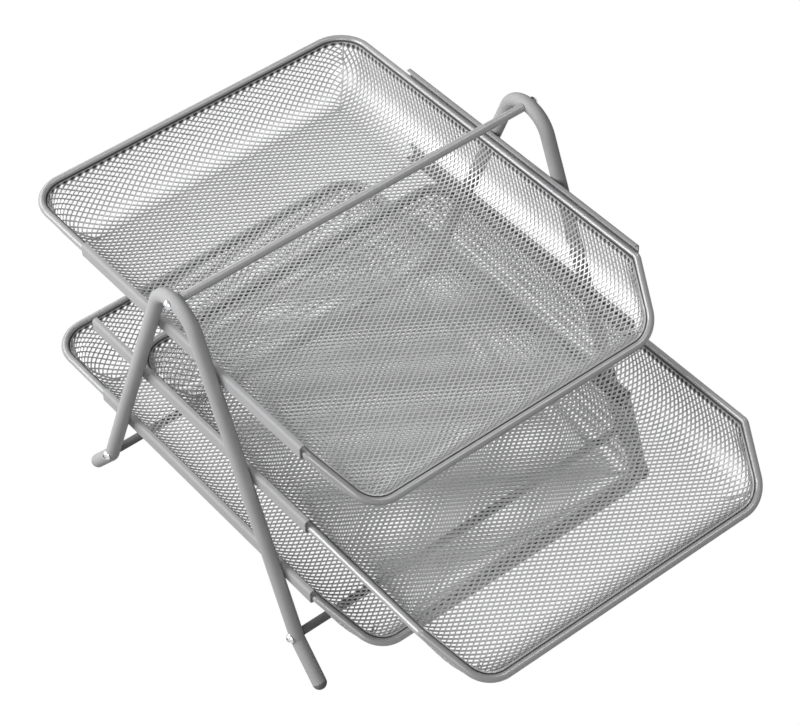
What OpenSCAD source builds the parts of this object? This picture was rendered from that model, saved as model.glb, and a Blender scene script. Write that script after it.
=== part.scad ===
// Tiered desk organizer: two A-frames of bent steel tube carry six channel rails, and three
// trays of expanded mesh with round wire rims slide in them.
// Millimetres. +X right, +Y to the back, +Z up.
// The origin is on the desk, under the middle of the part's box with its middle tray drawn out.

/* [Trays] */
// Width of a tray over its rim
tray_w = 275; // [240:1:330]
// Depth of a tray over its rim
tray_d = 351.5; // [320:0.5:380]
// Diameter of the rim wire
rim_d = 5.2; // [4.5:0.1:7]
// Depth of the mesh basket, from the rim's centre line down to its underside
basket_h = 36.9; // [30:0.1:50]
// Thickness of the mesh
mesh_t = 0.8; // [0.5:0.1:1.5]
// How far each wall leans in from rim to floor, beside its bend
wall_draft = 7; // [3:0.5:10]
// Bend between wall and floor
floor_bend = 22; // [12:1:26]
// Openings across a basket's floor, in the plain grid that stands for its mesh
cells_across = 8; // [4:1:12]
// Openings along a basket's floor
cells_along = 10; // [4:1:12]
// Width of the strips between those openings
strip_w = 7; // [4:0.5:9]
// Bend of the rim at the back corners, on its centre line
back_r = 24; // [18:1:40]
// Bend of the rim at the front corners, on its centre line
front_r = 24; // [20:1:30]
// Bend where the rim starts to dip, on its centre line
dip_r = 5; // [4.5:0.5:9]
// How far forward the rim runs while it dips to the front
dip_run = 40; // [32:1:48]
// How far each side of the rim draws in while it dips
dip_inset = 19; // [10:1:24]
// Height of the front of the rim over the basket's underside
front_rise = 5.3; // [2:0.1:8]
// Clear height between the rim of a tray and the tray above it
tier_gap = 29.5; // [20:0.5:60]
// Clear height under the bottom tray
floor_gap = 38.5; // [32:0.5:60]
// How far the middle tray is drawn out
middle_out = 107; // [0:1:180]

/* [Rails] */
// Length of a rail
rail_l = 234; // [215:1:260]
// Thickness of the rail sheet
rail_t = 1; // [0.8:0.1:1.5]
// Outer bend of the rail sheet
rail_bend = 2.2; // [1.8:0.1:3]
// How far the top lip reaches in over the rim's outer side
lip_cover = 2.4; // [1:0.1:4]
// How far the bottom flange reaches in past the rim's centre line
flange_past = 2.5; // [1:0.1:2.6]
// Free height above the rim in its rail
rim_lift = 3.5; // [1:0.1:5]

/* [A-frames] */
// Diameter of the frame tube
leg_d = 10; // [8:0.5:14]
// Wall of the frame tube
leg_wall = 1; // [0.6:0.1:1.5]
// Lean of each leg from upright, in degrees
leg_lean = 21.8; // [19:0.1:25]
// Bend of the crown, on the tube's centre line
crown_r = 22; // [18:1:28]
// Height of the crown above the top rail
crown_over = 44.5; // [38:0.5:70]
// Drop from the low bars to where the legs kick outwards
kick_below = 3; // [2.5:0.5:8]
// How far each foot stands out from its kick
kick_out = 21.5; // [14:0.5:30]
// Bend at the kick, on the tube's centre line
kick_r = 12; // [8:1:14]
// Depth of the flat that each foot stands on
foot_flat = 0.4; // [0.2:0.1:1]

/* [Bars and screws] */
// Diameter of the cross bars
bar_d = 6; // [5:0.5:9]
// Clear height between the low bars and the bottom tray
bar_gap = 2.5; // [1:0.5:6]
// Diameter of the screws
screw_d = 3.5; // [3:0.1:4]
// How deep a screw reaches into a bar
screw_bite = 10; // [6:1:20]
// Diameter of a screw's head
head_d = 7; // [6:0.5:9]
// Height of a screw's head
head_h = 2.6; // [2:0.1:3.5]

/* [Clearances] */
// Running clearance under the rim
rim_play = 0.3; // [0.2:0.1:1]
// Running clearance beside the rim
side_play = 0.4; // [0.2:0.1:1]
// Room between a closed tray's dip and the front of its rails
stop_gap = 0.5; // [0.3:0.1:3]
// Room between pieces that are welded or butted
seat_gap = 0.05; // [0.02:0.01:0.1]
// Radial room of a screw in its hole and of a plug in its tube
hole_play = 0.05; // [0.02:0.01:0.1]

/* [Hidden] */
$fn = 64;

steel_grey = [0.66, 0.66, 0.67];
shade_grey = [0.36, 0.36, 0.37];
zinc = [0.82, 0.83, 0.85];
cap_grey = [0.58, 0.58, 0.59];
cut_over = 1;          // how far a cut runs past the face it opens
slice_t = 0.01;        // thickness of the slices that a basket is lofted from
plug_l = 9;            // length of a foot's plug inside its tube
recess_w = 1.1;        // width of a screw's cross recess
recess_depth = 1.2;    // depth of a screw's cross recess
collar_l = 0.8;        // length of the collar that joins a bend to a straight run
collar_over = 0.03;    // how far that collar stands proud
dip_ease = 0.7;        // extra room between a basket and the dip of its rim
corner_least = 2;      // radius of a basket's corners where they meet the floor
wall_slices = 4;       // steps that a basket's walls are lofted in, above the bend

rim_r = rim_d / 2;
leg_r = leg_d / 2;
bore_r = leg_r - leg_wall;
bar_r = bar_d / 2;

// Levels
rail_h = rim_d + 2 * rail_t + rim_play + rim_lift;
rim_over_rail = rail_t + rim_play + rim_r;
rail_z0 = floor_gap + basket_h - rim_over_rail;
tier_pitch = basket_h + rim_r + tier_gap;
function rail_z(level) = rail_z0 + level * tier_pitch;
function rim_z(level) = rail_z(level) + rim_over_rail;
frame_h = rail_z(2) + rail_h + crown_over;
crown_z = frame_h - leg_r;
low_bar_z = floor_gap - bar_gap - bar_r;
kick_z = low_bar_z - kick_below;
foot_z = leg_r - foot_flat;

// Places across the width
rim_x = tray_w / 2 - rim_r;
rail_out = rim_x + rim_r + side_play + rail_t;
frame_x = rail_out + seat_gap + leg_r;
bar_half = frame_x - leg_r - seat_gap;

// The rim's path, with the tray pushed in until its dip meets the front of the rails
dip_drop = basket_h - rim_r - front_rise;
dip_dir = unit([-dip_inset, -dip_run, -dip_drop]);
dip_tangent = dip_r * tan(acos(-dip_dir[1]) / 2);
rim_dip_y = -rail_l / 2 - stop_gap - dip_tangent;
rim_front_y = rim_dip_y - dip_run;
rim_back_y = rim_front_y + tray_d - rim_d;
rim_front_x = rim_x - dip_inset;

// The basket's walls: how far they reach out over the floor's edge at a height above its underside
function reach(h) =
    wall_draft * h / basket_h + floor_bend * (h < floor_bend ? sin(acos(1 - h / floor_bend)) : 1);
wrap = rim_r + seat_gap;
floor_x = rim_x - wrap - reach(basket_h);
floor_back_y = rim_back_y - wrap - reach(basket_h);

// The basket's edge along the rim's dip, at a length down the plane that the dip lies in
dip_l = norm([dip_run, dip_drop]);
dip_slant = norm([dip_inset, dip_l]) / dip_l;
edge_gap = wrap + dip_ease;
tip_down = dip_l - front_r;
tip_x = rim_x - dip_inset * tip_down / dip_l - front_r * dip_slant;
tip_r = front_r - edge_gap;
tip_from = tip_down + tip_r * dip_inset / norm([dip_inset, dip_l]);
function edge_x(down) =
    down < tip_from
    ? rim_x - dip_inset * down / dip_l - edge_gap * dip_slant
    : tip_x + sqrt(max(0, pow(tip_r, 2) - pow(down - tip_down, 2)));
function edge_y(down) = rim_dip_y - down * dip_run / dip_l;
lip_down = tip_down + tip_r;
lip_h = basket_h - lip_down * dip_drop / dip_l;
floor_front_y = edge_y(lip_down) + reach(lip_h);

// Radius of the basket's front corners at a height, so that they meet that edge
function front_corner(h) =
    h < lip_h
    ? corner_least + (floor_x + reach(lip_h) - tip_x - corner_least) * h / lip_h
    : let (
        down = (basket_h - h) * dip_l / dip_drop,
        inward = max(0, floor_x + reach(h) - edge_x(down)),
        back = max(0, edge_y(down) - floor_front_y + reach(h))
    ) inward + back + sqrt(2 * inward * back);

// Shift from midway between the feet to the middle of the part's box
base_y = -(rim_back_y + rim_front_y - middle_out) / 2;

// The frame's path in its own plane, as Y and Z of the rear half
apex_z = crown_z + crown_r * (1 / sin(leg_lean) - 1);
function leg_y(z) = (apex_z - z) * tan(leg_lean);
kick_y = leg_y(kick_z);
foot_y = kick_y + kick_out;
foot_dir = unit([0, kick_out, foot_z - kick_z]);

function unit(v) = v / norm(v);

// Moves children from the X, Y, Z axes to axes x, y, z at a point
module on_axes(at, x, y, z) {
    multmatrix([
        [x[0], y[0], z[0], at[0]],
        [x[1], y[1], z[1], at[1]],
        [x[2], y[2], z[2], at[2]],
        [0, 0, 0, 1],
    ])
        children();
}

// Any unit vector square to v
function square_to(v) = unit(cross(v, abs(v[0]) < 0.9 ? [1, 0, 0] : [0, 1, 0]));

// A straight round rod between two points
module rod(from, to, r) {
    z = unit(to - from);
    x = square_to(z);
    on_axes(from, x, cross(z, x), z)
        cylinder(r = r, h = norm(to - from));
}

// A round bend that starts at a point along one direction and leaves along another
module rod_bend(from, into, out, bend_r, r) {
    turn = acos(into * out);
    inward = unit(out - into * (into * out));
    on_axes(from + inward * bend_r, -inward, into, cross(-inward, into))
        rotate_extrude(angle = turn)
            translate([bend_r, 0])
                circle(r = r);
}

// A round rod along corner points, with a bend radius for each corner.
// A thin collar joins each bend to its straight runs.
module bent_rod(points, bends, r, closed = false) {
    n = len(points);
    last = closed ? n - 1 : n - 2;
    function corner(i) = closed || (i > 0 && i < n - 1);
    dirs = [for (i = [0 : last]) unit(points[(i + 1) % n] - points[i])];
    function before(i) = dirs[(i + n - 1) % n];
    cuts = [for (i = [0 : n - 1]) corner(i) ? bends[i] * tan(acos(before(i) * dirs[i]) / 2) : 0];
    function ease(i) = corner(i) ? cuts[i] + collar_l / 4 : 0;
    union() {
        for (i = [0 : last])
            rod(points[i] + dirs[i] * ease(i), points[(i + 1) % n] - dirs[i] * ease((i + 1) % n), r);
        for (i = [0 : n - 1])
            if (corner(i)) {
                start = points[i] - before(i) * cuts[i];
                end = points[i] + dirs[i] * cuts[i];
                rod_bend(start, before(i), dirs[i], bends[i], r);
                rod(start - before(i) * collar_l * 2 / 3, start + before(i) * collar_l / 3, r + collar_over);
                rod(end - dirs[i] * collar_l / 3, end + dirs[i] * collar_l * 2 / 3, r + collar_over);
            }
    }
}

// Corner points of a frame from its front foot over the crown to its rear foot.
// The ends can be drawn out along the feet.
function frame_path(past = 0) = [
    [0, -foot_y, foot_z] + past * [0, -foot_dir[1], foot_dir[2]],
    [0, -kick_y, kick_z],
    [0, 0, apex_z],
    [0, kick_y, kick_z],
    [0, foot_y, foot_z] + past * foot_dir,
];
frame_bends = [0, kick_r, crown_r, kick_r, 0];

// Places of the three screws and bars, as Y and Z
top_seat = [0, 0, crown_z];
front_seat = [0, -leg_y(low_bar_z), low_bar_z];
rear_seat = [0, leg_y(low_bar_z), low_bar_z];

// One A-frame, at X = 0
module a_frame() {
    color(steel_grey)
        difference() {
            bent_rod(frame_path(), frame_bends, leg_r);
            bent_rod(frame_path(cut_over), frame_bends, bore_r);
            for (seat = [top_seat, front_seat, rear_seat])
                translate(seat)
                    rotate([0, 90, 0])
                        cylinder(r = screw_d / 2 + hole_play, h = leg_d + 2 * cut_over, center = true);
        }
}

// A foot plug at X = 0, on the rear leg or mirrored to the front one
module foot(rear) {
    turn = rear ? [0, 0, 0] : [0, 1, 0];
    x = [1, 0, 0];
    color(cap_grey)
        mirror(turn)
            difference() {
                on_axes([0, foot_y, foot_z], x, cross(foot_dir, x), foot_dir) {
                    rotate_extrude()
                        intersection() {
                            translate([0, seat_gap])
                                circle(r = leg_r);
                            translate([0, seat_gap])
                                square([leg_d, leg_d]);
                        }
                    translate([0, 0, -plug_l])
                        cylinder(r = bore_r - hole_play, h = plug_l + seat_gap);
                }
                translate([-leg_d, foot_y - leg_d, -leg_d])
                    cube([2 * leg_d, 2 * leg_d, leg_d]);
            }
}

// A cross bar with a threaded hole in each end
module cross_bar(seat, tint) {
    hole_l = screw_bite + cut_over;
    color(tint)
        translate(seat)
            rotate([0, 90, 0])
                difference() {
                    cylinder(r = bar_r, h = 2 * bar_half, center = true);
                    for (side = [-1, 1])
                        translate([0, 0, side * bar_half])
                            cylinder(r = screw_d / 2 + hole_play, h = 2 * hole_l, center = true);
                }
}

// A domed screw with a cross recess, through the left frame into a bar
module screw(seat) {
    head_at = frame_x + leg_r + seat_gap;
    reach = head_at - bar_half + screw_bite;
    dome_r = (head_h * head_h + head_d * head_d / 4) / (2 * head_h);
    color(zinc)
        translate(seat - [head_at, 0, 0])
            rotate([0, -90, 0])
                difference() {
                    union() {
                        rotate_extrude()
                            intersection() {
                                translate([0, head_h - dome_r])
                                    circle(r = dome_r);
                                square([head_d, head_d]);
                            }
                        translate([0, 0, -reach])
                            cylinder(r = screw_d / 2, h = reach + recess_depth / 2);
                    }
                    for (angle = [0, 90])
                        rotate(angle)
                            translate([-head_d / 4, -recess_w / 2, head_h - recess_depth])
                                cube([head_d / 2, recess_w, head_h]);
                }
}

// Section of a rail: a web at X = 0, a lip over the rim and a flange under it
module rail_section() {
    lip = rail_t + side_play + lip_cover;
    flange = rail_t + side_play + rim_r + flange_past;
    translate([0, rail_bend])
        square([rail_t, rail_h - 2 * rail_bend]);
    translate([rail_bend, 0])
        square([flange - rail_bend, rail_t]);
    translate([rail_bend, rail_h - rail_t])
        square([lip - rail_bend, rail_t]);
    for (up = [0, 1])
        translate([rail_bend, up ? rail_h - rail_bend : rail_bend])
            intersection() {
                difference() {
                    circle(r = rail_bend);
                    circle(r = rail_bend - rail_t);
                }
                translate([-rail_bend, up ? 0 : -rail_bend])
                    square(rail_bend);
            }
}

// The left rail of a level
module rail(level) {
    color(steel_grey)
        translate([-rail_out, 0, rail_z(level)])
            rotate([90, 0, 0])
                linear_extrude(rail_l, center = true)
                    rail_section();
}

// The wire rim of a pushed-in tray, with its centre line at Z = 0
module rim() {
    points = [
        [-rim_x, rim_back_y, 0],
        [rim_x, rim_back_y, 0],
        [rim_x, rim_dip_y, 0],
        [rim_front_x, rim_front_y, -dip_drop],
        [-rim_front_x, rim_front_y, -dip_drop],
        [-rim_x, rim_dip_y, 0],
    ];
    color(steel_grey)
        bent_rod(points, [back_r, back_r, dip_r, front_r, front_r, dip_r], rim_r, closed = true);
}

// Outline of the basket at a height above its underside, drawn in by a wall
module basket_plan(h, wall) {
    side = floor_x + reach(h);
    back_corner = corner_least + (back_r - wrap - corner_least) * reach(h) / reach(basket_h);
    back = floor_back_y + reach(h) - back_corner;
    front = floor_front_y - reach(h) + front_corner(h);
    hull()
        for (x = [-1, 1]) {
            translate([x * (side - back_corner), back])
                circle(r = back_corner - wall);
            translate([x * (side - front_corner(h)), front])
                circle(r = front_corner(h) - wall);
        }
}

// The basket's outer form, drawn in and raised by a wall, lofted from slice to slice
module basket_form(wall, top) {
    bend_heights = [for (angle = [0 : 15 : 75]) floor_bend * (1 - cos(angle))];
    wall_heights = [for (i = [0 : wall_slices]) floor_bend + (basket_h - floor_bend) * i / wall_slices];
    heights = concat(bend_heights, wall_heights);
    module slice(h) {
        translate([0, 0, h < basket_h ? h + wall - basket_h : top - slice_t])
            linear_extrude(slice_t)
                basket_plan(h, wall, $fn = 32);
    }
    for (i = [1 : len(heights) - 1])
        hull() {
            slice(heights[i - 1]);
            slice(heights[i]);
        }
}

// Openings of a basket: a grid in its floor and a row in its side and back walls
module mesh_openings() {
    pitch_x = 2 * floor_x / cells_across;
    pitch_y = (floor_back_y - floor_front_y) / cells_along;
    cell = [pitch_x - strip_w, pitch_y - strip_w];
    window_h = basket_h - 2 * strip_w;
    xs = [for (i = [0 : cells_across - 1]) (i + 0.5) * pitch_x - floor_x];
    ys = [for (i = [0 : cells_along - 1]) (i + 0.5) * pitch_y + floor_front_y];
    side_ys = [for (y = ys) if (y - cell[1] / 2 > rim_dip_y + strip_w) y];
    translate([0, 0, -basket_h - cut_over])
        linear_extrude(mesh_t + 2 * cut_over)
            for (x = xs, y = ys)
                translate([x, y])
                    square(cell, center = true);
    translate([0, 0, -basket_h / 2])
        rotate([90, 0, 90])
            linear_extrude(tray_w, center = true)
                for (y = side_ys)
                    translate([y, 0])
                        square([cell[1], window_h], center = true);
    translate([0, tray_d, -basket_h / 2])
        rotate([90, 0, 0])
            linear_extrude(tray_d)
                for (x = xs)
                    translate([x, 0])
                        square([cell[0], window_h], center = true);
}

// The basket of a pushed-in tray, cut away along the dip of its rim
module basket() {
    past = 2 * dip_run;
    color(steel_grey)
        difference() {
            basket_form(0, 0);
            basket_form(mesh_t, cut_over);
            mesh_openings();
            translate([tray_w / 2, 0, 0])
                rotate([90, 0, -90])
                    linear_extrude(tray_w)
                        polygon([
                            [-rim_dip_y, cut_over],
                            [-rim_dip_y, 0],
                            [-rim_dip_y + past, -dip_drop * past / dip_run],
                            [-rim_dip_y + past, cut_over],
                        ]);
        }
}

// Lifts a tray's piece to its level and draws it out
module in_rails(level, out = 0) {
    translate([0, -out, rim_z(level)])
        children();
}

// Moves a piece drawn from midway between the feet to the part's own origin
module in_place() {
    translate([0, base_y, 0])
        children();
}

module on_left() {
    translate([-frame_x, 0, 0])
        children();
}

module on_right() {
    translate([frame_x, 0, 0])
        children();
}

module on_other_side() {
    mirror([1, 0, 0])
        children();
}

in_place() on_left() a_frame();  // frame_left
in_place() on_right() a_frame();  // frame_right
in_place() on_left() foot(rear = false);  // foot_front_left
in_place() on_left() foot(rear = true);  // foot_rear_left
in_place() on_right() foot(rear = false);  // foot_front_right
in_place() on_right() foot(rear = true);  // foot_rear_right
in_place() cross_bar(top_seat, steel_grey);  // top_bar
in_place() cross_bar(front_seat, shade_grey);  // front_bar
in_place() cross_bar(rear_seat, shade_grey);  // rear_bar
in_place() screw(top_seat);  // screw_top_left
in_place() screw(front_seat);  // screw_front_left
in_place() screw(rear_seat);  // screw_rear_left
in_place() on_other_side() screw(top_seat);  // screw_top_right
in_place() on_other_side() screw(front_seat);  // screw_front_right
in_place() on_other_side() screw(rear_seat);  // screw_rear_right
in_place() rail(2);  // rail_top_left
in_place() rail(1);  // rail_middle_left
in_place() rail(0);  // rail_bottom_left
in_place() on_other_side() rail(2);  // rail_top_right
in_place() on_other_side() rail(1);  // rail_middle_right
in_place() on_other_side() rail(0);  // rail_bottom_right
in_place() in_rails(2) rim();  // rim_top
in_place() in_rails(2) basket();  // basket_top
in_place() in_rails(1, middle_out) rim();  // rim_middle
in_place() in_rails(1, middle_out) basket();  // basket_middle
in_place() in_rails(0) rim();  // rim_bottom
in_place() in_rails(0) basket();  // basket_bottom
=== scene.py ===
import math

import bmesh
import bpy
from bmesh.types import BMEdge, BMFace, BMVert
from mathutils import Matrix, Vector


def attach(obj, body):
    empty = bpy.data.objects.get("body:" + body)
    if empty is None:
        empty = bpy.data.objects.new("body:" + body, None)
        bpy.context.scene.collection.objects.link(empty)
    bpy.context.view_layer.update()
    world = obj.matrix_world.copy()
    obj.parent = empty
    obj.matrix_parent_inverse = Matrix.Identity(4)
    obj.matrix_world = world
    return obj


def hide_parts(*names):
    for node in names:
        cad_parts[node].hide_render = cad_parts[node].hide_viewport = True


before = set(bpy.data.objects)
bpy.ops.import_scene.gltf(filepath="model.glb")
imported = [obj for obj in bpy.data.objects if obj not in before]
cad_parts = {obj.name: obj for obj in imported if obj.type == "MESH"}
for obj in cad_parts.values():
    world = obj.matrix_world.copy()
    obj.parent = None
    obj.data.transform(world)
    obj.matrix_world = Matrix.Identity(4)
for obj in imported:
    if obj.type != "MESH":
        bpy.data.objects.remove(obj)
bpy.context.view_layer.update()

# One millimetre in the scene's metres
MM = 0.001

# Sizes as in the part's source, in millimetres
RIM_R = 2.6
RIM_X = 134.9
BACK_R = 24.0
FRONT_R = 24.0
DIP_R = 5.0
DIP_RUN = 40.0
DIP_INSET = 19.0
FRONT_RISE = 5.3
BASKET_H = 36.9
WALL_DRAFT = 7.0
FLOOR_BEND = 22.0
CORNER_LEAST = 2.0
MESH_T = 0.8
RAIL_L = 234.0
STOP_GAP = 0.5
TRAY_D = 351.5
SEAT_GAP = 0.05
DIP_EASE = 0.7

DIP_DROP = BASKET_H - RIM_R - FRONT_RISE
# Length of the dip as seen from the side, and along the rim itself
DIP_SIDE_L = math.hypot(DIP_RUN, DIP_DROP)
DIP_RIM_L = math.hypot(DIP_INSET, DIP_SIDE_L)
DIP_TANGENT = DIP_R * math.tan(math.acos(DIP_RUN / DIP_RIM_L) / 2)
RIM_DIP_Y = -RAIL_L / 2 - STOP_GAP - DIP_TANGENT
RIM_FRONT_Y = RIM_DIP_Y - DIP_RUN
RIM_BACK_Y = RIM_FRONT_Y + TRAY_D - 2 * RIM_R

# Height of each tray's rim and how far the tray is drawn out
TRAYS = {"top": (213.4, 0.0), "middle": (144.4, 107.0), "bottom": (75.4, 0.0)}
MIDDLE_OUT = TRAYS["middle"][1]
# Shift from midway between the feet to the part's own origin
BASE_Y = (MIDDLE_OUT - RIM_FRONT_Y - RIM_BACK_Y) / 2

# Expanded mesh: long and short way of a diamond, width of a strand and thickness of the sheet
LONG_WAY = 6.0
SHORT_WAY = 4.0
STRAND_W = 0.8
STRAND_T = 1.0
# Share of a whole diamond under which a cut cell stays closed
CLOSED_SHARE = 0.3

# Hem: how far below the rim's centre line the walls end, and how wide an edge of theirs is backed by closed
# cells that carry painted shade
HEM_DROP = 0.2
HEM_W = 3.2
# Its fold on the rim's inner side: thickness, the offset that lays this thickness towards the rim,
# how far its faces may look up and the least that they look inward
HEM_T = 0.25
HEM_OFFSET = -0.9
HEM_UP = 0.3
HEM_INWARD = 0.5
# The dark wire that closes it, a painted shadow line between rim and mesh: radius, and how far inside the
# rim it runs
HEM_WIRE_R = 0.55
HEM_WIRE_IN = 0.35

# Sides of the round rods, turn of one step in a bend, and the distance within which their points are merged
RIM_SIDES = 32
HEM_SIDES = 48
HEM_WIRE_SIDES = 12
BEND_STEP = math.radians(3)
MERGE_DIST = 0.002
# Distance within which points count as on a cut, and height within which they count as on the floor
TRIM_SNAP = 0.15
SLIT_SNAP = 0.05
FLOOR_SNAP = 0.01
# The most that a wall's end is turned round a corner, in radians
MOST_TURN = 1.5


# Meshes

def finish_piece(bm, name, body, material, smooth):
    """Makes an object of a bmesh that is in millimetres and lets it ride on a body."""
    bmesh.ops.scale(bm, vec=(MM, MM, MM), verts=bm.verts)
    mesh = bpy.data.meshes.new(name)
    bm.to_mesh(mesh)
    bm.free()
    for face in mesh.polygons:
        face.use_smooth = smooth
    mesh.materials.append(material)
    piece = bpy.data.objects.new(name, mesh)
    bpy.context.scene.collection.objects.link(piece)
    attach(piece, body)
    return piece


def picked(geom, kind):
    """The points, the edges or the faces of a mixed list."""
    return [g for g in geom if isinstance(g, kind)]


def whole(faces):
    """Faces with their edges and points."""
    verts = {v for f in faces for v in f.verts}
    edges = {e for f in faces for e in f.edges}
    return list(verts) + list(edges) + list(faces)


def trim(bm, at, outward, geom=None):
    """Cuts away the faces that lie beyond a plane."""
    cut = bmesh.ops.bisect_plane(
        bm,
        geom=geom or bm.verts[:] + bm.edges[:] + bm.faces[:],
        dist=TRIM_SNAP,
        plane_co=at,
        plane_no=outward,
    )["geom"]
    at, outward = Vector(at), Vector(outward)
    beyond = [f for f in picked(cut, BMFace) if (f.calc_center_median() - at).dot(outward) > 0]
    bmesh.ops.delete(bm, geom=beyond, context="FACES")


def bend_rod(points, bends, radius, sides):
    """A closed loop of round rod along corner points, swept with straight extrusions and spun bends."""
    points = [Vector(p) for p in points]
    count = len(points)
    dirs = [(points[(i + 1) % count] - points[i]).normalized() for i in range(count)]
    turns = [dirs[i - 1].angle(dirs[i]) for i in range(count)]
    cuts = [bends[i] * math.tan(turns[i] / 2) for i in range(count)]
    bm = bmesh.new()
    start = points[0] + dirs[0] * cuts[0]
    ring = bmesh.ops.create_circle(
        bm,
        segments=sides,
        radius=radius,
        matrix=Matrix.Translation(start) @ dirs[0].to_track_quat("Z", "Y").to_matrix().to_4x4(),
    )
    edges = list({e for v in ring["verts"] for e in v.link_edges})
    for i in range(count):
        after = (i + 1) % count
        run = (points[after] - points[i]).length - cuts[i] - cuts[after]
        drawn = bmesh.ops.extrude_edge_only(bm, edges=edges)["geom"]
        ends = picked(drawn, BMVert)
        bmesh.ops.translate(bm, vec=dirs[i] * run, verts=ends)
        edges = [e for e in picked(drawn, BMEdge) if all(v in ends for v in e.verts)]
        inward = (dirs[after] - dirs[i] * dirs[i].dot(dirs[after])).normalized()
        corner = points[after] - dirs[i] * cuts[after]
        spun = bmesh.ops.spin(
            bm,
            geom=edges + list({v for e in edges for v in e.verts}),
            cent=corner + inward * bends[after],
            axis=dirs[i].cross(inward),
            angle=turns[after],
            steps=max(2, math.ceil(turns[after] / BEND_STEP)),
        )["geom_last"]
        edges = picked(spun, BMEdge)
    bmesh.ops.remove_doubles(bm, verts=bm.verts, dist=MERGE_DIST)
    bmesh.ops.recalc_face_normals(bm, faces=bm.faces)
    return bm


def rim_line(inset, below):
    """Corner points and bends of the rim's centre line, or of a line drawn in and lowered from it."""
    slope_y, slope_z = DIP_RUN / DIP_SIDE_L, DIP_DROP / DIP_SIDE_L
    past = below * (1 - slope_y) / slope_z
    dip_y = RIM_DIP_Y + below * slope_z - past * slope_y
    front_y = RIM_FRONT_Y + inset * slope_y + below * slope_z
    front_z = inset * slope_z - DIP_DROP - below * slope_y
    side = RIM_X - inset
    back = RIM_BACK_Y - inset
    front_x = RIM_X - DIP_INSET * (DIP_SIDE_L - inset) / DIP_SIDE_L - inset * DIP_RIM_L / DIP_SIDE_L
    points = [
        (-side, back, -below),
        (-side, dip_y, -below),
        (-front_x, front_y, front_z),
        (front_x, front_y, front_z),
        (side, dip_y, -below),
        (side, back, -below),
    ]
    corner = FRONT_R - inset
    return points, [BACK_R - inset, DIP_R, corner, corner, DIP_R, BACK_R - inset]


# The basket's walls, as in the part's source

def reach(h):
    """How far the walls reach out over the floor's edge at a height above the underside."""
    bend = math.sqrt(h * (2 * FLOOR_BEND - h)) if h < FLOOR_BEND else FLOOR_BEND
    return WALL_DRAFT * h / BASKET_H + bend


WRAP = RIM_R + SEAT_GAP
FLOOR_X = RIM_X - WRAP - reach(BASKET_H)
FLOOR_BACK_Y = RIM_BACK_Y - WRAP - reach(BASKET_H)
EDGE_GAP = WRAP + DIP_EASE
TIP_DOWN = DIP_SIDE_L - FRONT_R
TIP_X = RIM_X - DIP_INSET * TIP_DOWN / DIP_SIDE_L - FRONT_R * DIP_RIM_L / DIP_SIDE_L
TIP_R = FRONT_R - EDGE_GAP


def edge_x(down):
    """Half width of the basket's edge at a length down the plane that the rim's dip lies in."""
    if down < TIP_DOWN + TIP_R * DIP_INSET / DIP_RIM_L:
        return RIM_X - DIP_INSET * down / DIP_SIDE_L - EDGE_GAP * DIP_RIM_L / DIP_SIDE_L
    return TIP_X + math.sqrt(max(0.0, TIP_R ** 2 - (down - TIP_DOWN) ** 2))


def edge_y(down):
    """Place of the basket's edge along Y at a length down that plane."""
    return RIM_DIP_Y - down * DIP_RUN / DIP_SIDE_L


LIP_H = BASKET_H - (TIP_DOWN + TIP_R) * DIP_DROP / DIP_SIDE_L
FLOOR_FRONT_Y = edge_y(TIP_DOWN + TIP_R) + reach(LIP_H)


def back_corner(h):
    """Radius of the back corners at a height."""
    return CORNER_LEAST + (BACK_R - WRAP - CORNER_LEAST) * reach(h) / reach(BASKET_H)


def front_corner(h):
    """Radius of the front corners at a height, so that they meet the edge along the dip."""
    if h < LIP_H:
        return CORNER_LEAST + (FLOOR_X + reach(LIP_H) - TIP_X - CORNER_LEAST) * h / LIP_H
    down = (BASKET_H - h) * DIP_SIDE_L / DIP_DROP
    inward = max(0.0, FLOOR_X + reach(h) - edge_x(down))
    back = max(0.0, edge_y(down) - FLOOR_FRONT_Y + reach(h))
    return inward + back + math.sqrt(2 * inward * back)


# Expanded mesh, pressed into a basket

BEND_ARC = FLOOR_BEND * math.pi / 2
FLOOR_Z = MESH_T / 2 - BASKET_H
CORNERS = [(sx, sy) for sx in (-1, 1) for sy in (-1, 1)]


def diamond_sheet(width, depth):
    """A flat sheet of diamond cells that fills a rectangle centred on the origin."""
    count = 2 * math.ceil((width / LONG_WAY + depth / SHORT_WAY) / 2 + 1)
    bm = bmesh.new()
    bmesh.ops.create_grid(
        bm,
        x_segments=count,
        y_segments=count,
        size=count / 2,
        matrix=Matrix.Diagonal((LONG_WAY / math.sqrt(2), SHORT_WAY / math.sqrt(2), 1, 1))
        @ Matrix.Rotation(math.radians(45), 4, "Z"),
    )
    for sign in (-1, 1):
        trim(bm, (sign * width / 2, 0, 0), (sign, 0, 0))
    for sign in (-1, 1):
        trim(bm, (0, sign * depth / 2, 0), (0, sign, 0))
    return bm


def past_side(x):
    """How far a point of the flat sheet lies beyond the floor's side."""
    return abs(x) - FLOOR_X


def past_end(y):
    """How far a point of the flat sheet lies beyond the floor's back or front end."""
    return max(y - FLOOR_BACK_Y, FLOOR_FRONT_Y - y)


def floor_corner(sx, sy):
    """A corner of the floor in the flat sheet."""
    end = FLOOR_BACK_Y if sy > 0 else FLOOR_FRONT_Y
    return sx * FLOOR_X, end, 0


def corner_faces(bm, sx, sy):
    """Faces of the flat sheet that lie beyond both a side and an end of the floor."""
    found = []
    for face in bm.faces:
        middle = face.calc_center_median()
        if middle.x * sx > 0 and (middle.y - FLOOR_FRONT_Y) * sy > 0:
            if past_side(middle.x) > 0 and past_end(middle.y) > 0:
                found.append(face)
    return found


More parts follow.
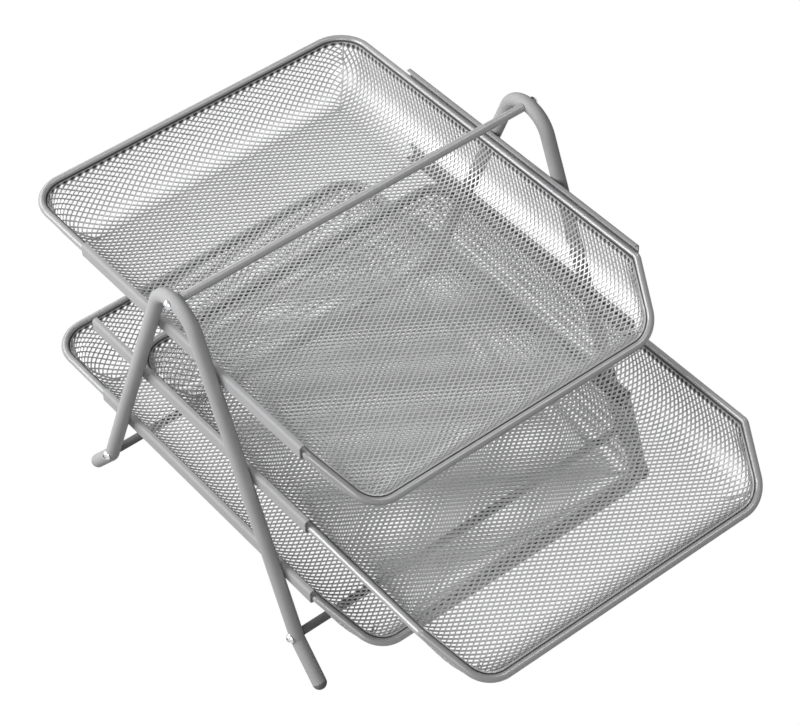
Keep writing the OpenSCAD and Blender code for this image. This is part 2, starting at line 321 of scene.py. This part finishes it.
def slit_corners(bm):
    """Slits the flat sheet at its corners, from the floor's corner outwards."""
    for sx, sy in CORNERS:
        cut = bmesh.ops.bisect_plane(
            bm,
            geom=whole(corner_faces(bm, sx, sy)),
            dist=SLIT_SNAP,
            plane_co=floor_corner(sx, sy),
            plane_no=(sx, -sy, 0),
        )["geom_cut"]
        bmesh.ops.split_edges(bm, edges=picked(cut, BMEdge))


def height_up_wall(length):
    """Height above the floor at a length up the bend and the wall."""
    if length < BEND_ARC:
        return FLOOR_BEND * (1 - math.cos(length / FLOOR_BEND))
    return min(BASKET_H, FLOOR_BEND + length - BEND_ARC)


def round_end(along, limit, radius):
    """Turns the end of a straight run round a corner: length along it and distance drawn in."""
    past = along - (limit - radius)
    if past <= 0:
        return along, 0.0
    angle = min(past / radius, MOST_TURN)
    return limit - radius + radius * math.sin(angle), radius * (1 - math.cos(angle))


def pressed_place(x, y, is_side):
    """Where a point of the flat sheet lies once floor, bends and walls are pressed."""
    up = past_side(x) if is_side else past_end(y)
    if up <= 0:
        return x, y, FLOOR_Z
    h = height_up_wall(up)
    side = FLOOR_X + reach(h) - MESH_T / 2
    back = FLOOR_BACK_Y + reach(h) - MESH_T / 2
    front = FLOOR_FRONT_Y - reach(h) + MESH_T / 2
    at_back = y > 0
    limit = back if at_back else -front
    radius = (back_corner(h) if at_back else front_corner(h)) - MESH_T / 2
    if is_side:
        along, drawn_in = round_end(abs(y), limit, radius)
        place = (math.copysign(side - drawn_in, x), math.copysign(along, y))
    else:
        along, drawn_in = round_end(abs(x), side, radius)
        place = (math.copysign(along, x), math.copysign(limit - drawn_in, y))
    return (*place, h + MESH_T / 2 - BASKET_H)


def press(bm):
    """Takes each point of the flat sheet to its place on the floor, a side wall or an end wall."""
    on_side = bm.faces.layers.int.new("on_side")
    at_corner = bm.faces.layers.int.new("at_corner")
    for number, (sx, sy) in enumerate(CORNERS, 1):
        for face in corner_faces(bm, sx, sy):
            face[at_corner] = number
    for face in bm.faces:
        middle = face.calc_center_median()
        face[on_side] = past_side(middle.x) > past_end(middle.y)
    for vert in bm.verts:
        x, y = vert.co.x, vert.co.y
        beyond_both = past_side(x) > 0 and past_end(y) > 0
        is_side = vert.link_faces[0][on_side] if beyond_both else past_side(x) > past_end(y)
        vert.co = pressed_place(x, y, is_side)


def mitre_corners(bm):
    """Trims a side wall and an end wall to the plane in which they meet, at each corner."""
    on_side = bm.faces.layers.int["on_side"]
    at_corner = bm.faces.layers.int["at_corner"]
    for number, (sx, sy) in enumerate(CORNERS, 1):
        for is_side, outward in ((0, 1), (1, -1)):
            faces = [f for f in bm.faces if f[at_corner] == number and f[on_side] == is_side]
            trim(bm, floor_corner(sx, sy), (outward * sx, -outward * sy, 0), whole(faces))


def below_edge(place):
    """How far a point lies under the basket's edge, which follows the rim and its dip."""
    under_dip = ((place.y - RIM_DIP_Y) * DIP_DROP - place.z * DIP_RUN) / DIP_SIDE_L
    return min(-HEM_DROP - place.z, under_dip)


def open_cells(bm):
    """Leaves a strand round each cell and takes its middle out, or keeps it closed and marks it where the
    hem backs it; the marked cells become the band of painted shade under the rim.
    """
    least = CLOSED_SHARE * LONG_WAY * SHORT_WAY / 2
    backed = bm.faces.layers.int.new("backed")
    cells = [f for f in bm.faces if f.calc_area() > least]
    bmesh.ops.inset_individual(bm, faces=cells, thickness=STRAND_W / 2, use_even_offset=True)
    for face in cells:
        face[backed] = below_edge(face.calc_center_median()) < HEM_W
    bmesh.ops.delete(bm, geom=[f for f in cells if not f[backed]], context="FACES")


def pressed_basket():
    """One flat sheet of diamonds pressed into a basket, with the rim's line at Z = 0."""
    wall = BEND_ARC + BASKET_H - FLOOR_BEND
    back = FLOOR_BACK_Y + wall
    front = FLOOR_FRONT_Y - BEND_ARC
    bm = diamond_sheet(2 * (FLOOR_X + wall), back - front)
    bmesh.ops.translate(bm, vec=(0, (front + back) / 2, 0), verts=bm.verts)
    slit_corners(bm)
    press(bm)
    mitre_corners(bm)
    # The walls end along the rim's dip and under the rim
    trim(bm, (0, RIM_DIP_Y, 0), (0, -DIP_DROP, DIP_RUN))
    trim(bm, (0, 0, -HEM_DROP), (0, 0, 1))
    open_cells(bm)
    return bm


def part_of_basket(basket, part):
    """A copy of the basket's floor, of its walls or of the hem that backs the walls' upper edge."""
    bm = basket.copy()
    backed = bm.faces.layers.int["backed"]
    other = []
    for face in bm.faces:
        is_wall = face.calc_center_median().z > FLOOR_Z + FLOOR_SNAP
        if part != ("hem" if face[backed] else "walls" if is_wall else "floor"):
            other.append(face)
    bmesh.ops.delete(bm, geom=other, context="FACES")
    return bm


def folded_hem():
    """The mesh's edge, folded against the rim's inner side."""
    bm = bend_rod(*rim_line(0, 0), RIM_R + HEM_T, HEM_SIDES)
    bare = []
    for face in bm.faces:
        place = face.calc_center_median()
        side = place.x - max(FRONT_R - RIM_X, min(RIM_X - FRONT_R, place.x))
        end = place.y - max(RIM_FRONT_Y + FRONT_R, min(RIM_BACK_Y - BACK_R, place.y))
        inward = -face.normal.dot(Vector((side, end, 0)).normalized())
        if face.normal.z > HEM_UP or inward < HEM_INWARD:
            bare.append(face)
    bmesh.ops.delete(bm, geom=bare, context="FACES")
    return bm


# Materials

# Grain of the finishes: scale of its orange peel, flake and haze, and the height of the peel in metres
PEEL_SCALE = 900.0
FLAKE_SCALE = 2600.0
HAZE_SCALE = 16.0
PEEL_H = 0.0002
# How much flake and haze lighten a finish, and how far the haze takes its roughness down and up
FLAKE_SHARE = 0.6
HAZE_SHARE = 0.4
SMOOTHER = 0.04
ROUGHER = 0.05


def add_node(tree, kind, at, **settings):
    """A new node at a place in a node tree."""
    node = tree.nodes.new(kind)
    node.location = at
    for key, value in settings.items():
        setattr(node, key, value)
    return node


def coat_grain_group():
    """Grain of a finish: a fine orange-peel height, metallic flake and a broad haze."""
    group = bpy.data.node_groups.new("coat_grain", "ShaderNodeTree")
    for socket in ("Peel Scale", "Flake Scale"):
        group.interface.new_socket(socket, in_out="INPUT", socket_type="NodeSocketFloat")
    for socket in ("Height", "Flake", "Haze"):
        group.interface.new_socket(socket, in_out="OUTPUT", socket_type="NodeSocketFloat")
    entry = add_node(group, "NodeGroupInput", (-700, 0))
    leave = add_node(group, "NodeGroupOutput", (400, 0))
    place = add_node(group, "ShaderNodeTexCoord", (-700, -300))
    peel = add_node(group, "ShaderNodeTexNoise", (-300, 200))
    peel.inputs["Detail"].default_value = 3.0
    flake = add_node(group, "ShaderNodeTexVoronoi", (-300, -100))
    haze = add_node(group, "ShaderNodeTexNoise", (-300, -400))
    haze.inputs["Scale"].default_value = HAZE_SCALE
    haze.inputs["Detail"].default_value = 4.0
    spread = add_node(group, "ShaderNodeMapRange", (0, -400))
    spread.inputs["From Min"].default_value = 0.3
    spread.inputs["From Max"].default_value = 0.7
    grey = add_node(group, "ShaderNodeSeparateColor", (0, -100))
    for node in (peel, flake, haze):
        group.links.new(place.outputs["Object"], node.inputs["Vector"])
    group.links.new(entry.outputs["Peel Scale"], peel.inputs["Scale"])
    group.links.new(entry.outputs["Flake Scale"], flake.inputs["Scale"])
    group.links.new(flake.outputs["Color"], grey.inputs["Color"])
    group.links.new(haze.outputs["Fac"], spread.inputs["Value"])
    group.links.new(peel.outputs["Fac"], leave.inputs["Height"])
    group.links.new(grey.outputs["Red"], leave.inputs["Flake"])
    group.links.new(spread.outputs["Result"], leave.inputs["Haze"])
    return group


def grained_finish(name, grain, dark, light, rough, metallic, peel=0.12, gleam=0.02):
    """A powder coat, a plating or a moulded surface, whose tone and gloss drift with its grain."""
    material = bpy.data.materials.new(name)
    material.use_nodes = True
    tree = material.node_tree
    shader = tree.nodes["Principled BSDF"]
    coat = add_node(tree, "ShaderNodeGroup", (-900, 0), node_tree=grain)
    coat.inputs["Peel Scale"].default_value = PEEL_SCALE
    coat.inputs["Flake Scale"].default_value = FLAKE_SCALE
    blend = add_node(tree, "ShaderNodeMath", (-650, 150), operation="MULTIPLY_ADD")
    blend.inputs[1].default_value = FLAKE_SHARE
    tone = add_node(tree, "ShaderNodeMix", (-400, 200), data_type="RGBA")
    tone.inputs["A"].default_value = (*dark, 1)
    tone.inputs["B"].default_value = (*light, 1)
    gloss = add_node(tree, "ShaderNodeMapRange", (-400, -50))
    gloss.inputs["To Min"].default_value = rough - SMOOTHER
    gloss.inputs["To Max"].default_value = rough + ROUGHER
    bump = add_node(tree, "ShaderNodeBump", (-400, -350))
    bump.inputs["Strength"].default_value = peel
    bump.inputs["Distance"].default_value = PEEL_H
    share = add_node(tree, "ShaderNodeMath", (-780, 250), operation="MULTIPLY")
    share.inputs[1].default_value = HAZE_SHARE
    tree.links.new(coat.outputs["Haze"], share.inputs[0])
    tree.links.new(coat.outputs["Flake"], blend.inputs[0])
    tree.links.new(share.outputs["Value"], blend.inputs[2])
    tree.links.new(blend.outputs["Value"], tone.inputs["Factor"])
    tree.links.new(tone.outputs["Result"], shader.inputs["Base Color"])
    tree.links.new(coat.outputs["Haze"], gloss.inputs["Value"])
    tree.links.new(gloss.outputs["Result"], shader.inputs["Roughness"])
    tree.links.new(coat.outputs["Height"], bump.inputs["Height"])
    tree.links.new(bump.outputs["Normal"], shader.inputs["Normal"])
    shader.inputs["Metallic"].default_value = metallic
    shader.inputs["Specular IOR Level"].default_value = gleam
    return material


grain = coat_grain_group()
frame_coat = grained_finish("frame_coat", grain, dark=(0.40, 0.40, 0.405), light=(0.46, 0.46, 0.465),
                            rough=0.42, metallic=0.01)
rail_coat = grained_finish("rail_coat", grain, dark=(0.38, 0.38, 0.385), light=(0.44, 0.44, 0.445),
                           rough=0.42, metallic=0.01)
rim_coat = grained_finish("rim_coat", grain, dark=(0.36, 0.36, 0.365), light=(0.42, 0.42, 0.425),
                          rough=0.25, metallic=0.22, gleam=0.1)
mesh_coat = grained_finish("mesh_coat", grain, dark=(0.48, 0.48, 0.485), light=(0.56, 0.56, 0.565),
                           rough=0.42, metallic=0.45)
# Near-black coat of the folded hem, its backed band and its wire: painted shade under and inside the rim,
# on the same mesh steel
hem_painted_shade = grained_finish("hem_painted_shade", grain, dark=(0.07, 0.07, 0.07), light=(0.12, 0.12, 0.12),
                          rough=0.5, metallic=0.0)
bar_coat = grained_finish("bar_coat", grain, dark=(0.42, 0.42, 0.425), light=(0.48, 0.48, 0.485),
                          rough=0.28, metallic=0.15, gleam=0.1)
# Low bars: the bar steel darkened, painted shade for their place under the trays
low_bar_painted_shade = grained_finish("low_bar_painted_shade", grain, dark=(0.16, 0.16, 0.163), light=(0.2, 0.2, 0.203),
                              rough=0.4, metallic=0.02)
zinc = grained_finish("zinc", grain, dark=(0.6, 0.61, 0.63), light=(0.72, 0.73, 0.75),
                      rough=0.2, metallic=1.0, peel=0.05)
foot_grey = grained_finish("foot_grey", grain, dark=(0.18, 0.18, 0.183), light=(0.23, 0.23, 0.233),
                           rough=0.45, metallic=0.0)

# Coats of the CAD pieces that stay, by the first word of their names
CAD_COATS = {
    "frame": frame_coat,
    "foot": foot_grey,
    "screw": zinc,
    "rail": rail_coat,
    "top": bar_coat,
    "front": low_bar_painted_shade,
    "rear": low_bar_painted_shade,
}
for name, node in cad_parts.items():
    coat = CAD_COATS.get(name.split("_")[0])
    if coat:
        node.data.materials.clear()
        node.data.materials.append(coat)


# Trays

# Pieces that are shaded smooth
ROUND_PIECES = ("rim_wire", "mesh_hem", "hem_wire")

basket = pressed_basket()
for level, (rim_z, out) in TRAYS.items():
    rim = bend_rod(*rim_line(0, 0), RIM_R, RIM_SIDES)
    wire = bend_rod(*rim_line(RIM_R + HEM_WIRE_IN, HEM_DROP), HEM_WIRE_R, HEM_WIRE_SIDES)
    # Mesh, coat and slot of each piece, and the thickness of those that are sheets
    made = {
        "rim_wire": (rim, rim_coat, "rim_steel", None),
        # The hem, its backed band and its wire take the near-black coat, which paints the shade inside and
        # under the rim
        "mesh_hem": (folded_hem(), hem_painted_shade, "mesh_steel", HEM_T),
        "hem_wire": (wire, hem_painted_shade, "mesh_steel", None),
        "hem_band": (part_of_basket(basket, "hem"), hem_painted_shade, "mesh_steel", HEM_T),
        "mesh_floor": (part_of_basket(basket, "floor"), mesh_coat, "mesh_steel", STRAND_T),
        "mesh_walls": (part_of_basket(basket, "walls"), mesh_coat, "mesh_steel", STRAND_T),
    }
    for kind, (bm, coat, slot, thickness) in made.items():
        bmesh.ops.translate(bm, vec=(0, BASE_Y - out, rim_z), verts=bm.verts)
        is_round = kind in ROUND_PIECES
        piece = finish_piece(bm, f"{kind}_{level}", "tray_" + level, coat, is_round)
        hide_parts(("rim_" if kind == "rim_wire" else "basket_") + level)
        if thickness:
            sheet = piece.modifiers.new("sheet", "SOLIDIFY")
            sheet.thickness = thickness * MM
            sheet.offset = HEM_OFFSET if kind == "mesh_hem" else 0
basket.free()


# Stage, light and camera, in metres

STAGE_HALF = 6.0
STAGE_GREY = 0.15
# Strength of the floor's own white, and how much of that the camera and gloss see
STAGE_GLOW = 1.08
STAGE_GLOW_SHARE = 0.92
WORLD_LIGHT = 0.03

# Place of each lamp, its width and height, and its power in watts
LAMP_AIM = (0, 0, 0.12)
LAMPS = {
    "key": ((-1.27, 0.71, 0.97), (1.0, 1.0), 27),
    "back": ((-0.1, 1.48, 0.88), (1.8, 0.4), 11),
    "above": ((0.73, -0.09, 1.65), (0.6, 0.6), 5),
    "fill": ((-1.1, -1.05, 0.87), (0.8, 0.8), 9),
}

# Camera fitted to the photograph: width and focal length in pixels, and the camera's place and axes
PHOTO_W = 800
PHOTO_FOCAL = 2662.6
SENSOR_W = 36.0
CAMERA_AT = Vector((-0.7521, -0.97188, 1.4090))
CAMERA_RIGHT = Vector((0.77728, -0.62880, -0.02107))
CAMERA_DOWN = Vector((-0.46304, -0.54907, -0.69578))
CAMERA_AHEAD = Vector((0.42594, 0.55057, -0.71794))


def pale_floor():
    """A pale floor that shows white to the camera and to gloss, and keeps the object's shadow."""
    bm = bmesh.new()
    bmesh.ops.create_grid(bm, x_segments=1, y_segments=1, size=STAGE_HALF)
    mesh = bpy.data.meshes.new("floor")
    bm.to_mesh(mesh)
    bm.free()
    floor = bpy.data.objects.new("floor", mesh)
    bpy.context.scene.collection.objects.link(floor)
    material = bpy.data.materials.new("pale_floor")
    material.use_nodes = True
    tree = material.node_tree
    shader = tree.nodes["Principled BSDF"]
    shader.inputs["Base Color"].default_value = (STAGE_GREY, STAGE_GREY, STAGE_GREY, 1)
    shader.inputs["Roughness"].default_value = 0.9
    shader.inputs["Specular IOR Level"].default_value = 0.1
    mesh.materials.append(material)
    glow = add_node(tree, "ShaderNodeEmission", (0, -300))
    glow.inputs["Strength"].default_value = STAGE_GLOW
    path = add_node(tree, "ShaderNodeLightPath", (-400, 300))
    seen = add_node(tree, "ShaderNodeMath", (-200, 300), operation="MAXIMUM")
    share = add_node(tree, "ShaderNodeMath", (0, 300), operation="MULTIPLY")
    share.inputs[1].default_value = STAGE_GLOW_SHARE
    mix = add_node(tree, "ShaderNodeMixShader", (300, 0))
    tree.links.new(path.outputs["Is Camera Ray"], seen.inputs[0])
    tree.links.new(path.outputs["Is Glossy Ray"], seen.inputs[1])
    tree.links.new(seen.outputs["Value"], share.inputs[0])
    tree.links.new(share.outputs["Value"], mix.inputs["Fac"])
    tree.links.new(shader.outputs["BSDF"], mix.inputs[1])
    tree.links.new(glow.outputs["Emission"], mix.inputs[2])
    tree.links.new(mix.outputs["Shader"], tree.nodes["Material Output"].inputs["Surface"])


def studio_world():
    """White to the camera, to gloss and through glass, and an even soft light otherwise."""
    world = bpy.data.worlds.new("studio")
    bpy.context.scene.world = world
    world.use_nodes = True
    tree = world.node_tree
    lit = tree.nodes["Background"]
    lit.inputs["Color"].default_value = (1, 1, 1, 1)
    lit.inputs["Strength"].default_value = WORLD_LIGHT
    white = add_node(tree, "ShaderNodeBackground", (0, -200))
    white.inputs["Color"].default_value = (1, 1, 1, 1)
    path = add_node(tree, "ShaderNodeLightPath", (-600, 300))
    seen = add_node(tree, "ShaderNodeMath", (-400, 300), operation="MAXIMUM")
    also = add_node(tree, "ShaderNodeMath", (-200, 300), operation="MAXIMUM")
    mix = add_node(tree, "ShaderNodeMixShader", (300, 0))
    tree.links.new(path.outputs["Is Camera Ray"], seen.inputs[0])
    tree.links.new(path.outputs["Is Glossy Ray"], seen.inputs[1])
    tree.links.new(seen.outputs["Value"], also.inputs[0])
    tree.links.new(path.outputs["Is Transmission Ray"], also.inputs[1])
    tree.links.new(also.outputs["Value"], mix.inputs["Fac"])
    tree.links.new(lit.outputs["Background"], mix.inputs[1])
    tree.links.new(white.outputs["Background"], mix.inputs[2])
    tree.links.new(mix.outputs["Shader"], tree.nodes["World Output"].inputs["Surface"])


def soft_box(name, at, size, power):
    """A rectangular area lamp turned towards the object."""
    data = bpy.data.lights.new(name, "AREA")
    data.shape = "RECTANGLE"
    data.size, data.size_y = size
    data.energy = power
    lamp = bpy.data.objects.new(name, data)
    lamp.location = at
    lamp.rotation_euler = (Vector(LAMP_AIM) - Vector(at)).to_track_quat("-Z", "Y").to_euler()
    bpy.context.scene.collection.objects.link(lamp)


def photo_camera():
    """The camera that took the photograph, as fitted to it."""
    data = bpy.data.cameras.new("camera")
    data.sensor_fit = "HORIZONTAL"
    data.sensor_width = SENSOR_W
    data.lens = PHOTO_FOCAL / PHOTO_W * SENSOR_W
    data.clip_start = 0.05
    data.clip_end = 20.0
    camera = bpy.data.objects.new("camera", data)
    turn = Matrix((CAMERA_RIGHT, -CAMERA_DOWN, -CAMERA_AHEAD)).transposed().to_4x4()
    camera.matrix_world = Matrix.Translation(CAMERA_AT) @ turn
    bpy.context.scene.collection.objects.link(camera)
    bpy.context.scene.camera = camera


pale_floor()
studio_world()
for name, (at, size, power) in LAMPS.items():
    soft_box(name, at, size, power)
photo_camera()
bpy.context.scene.view_settings.view_transform = "Standard"
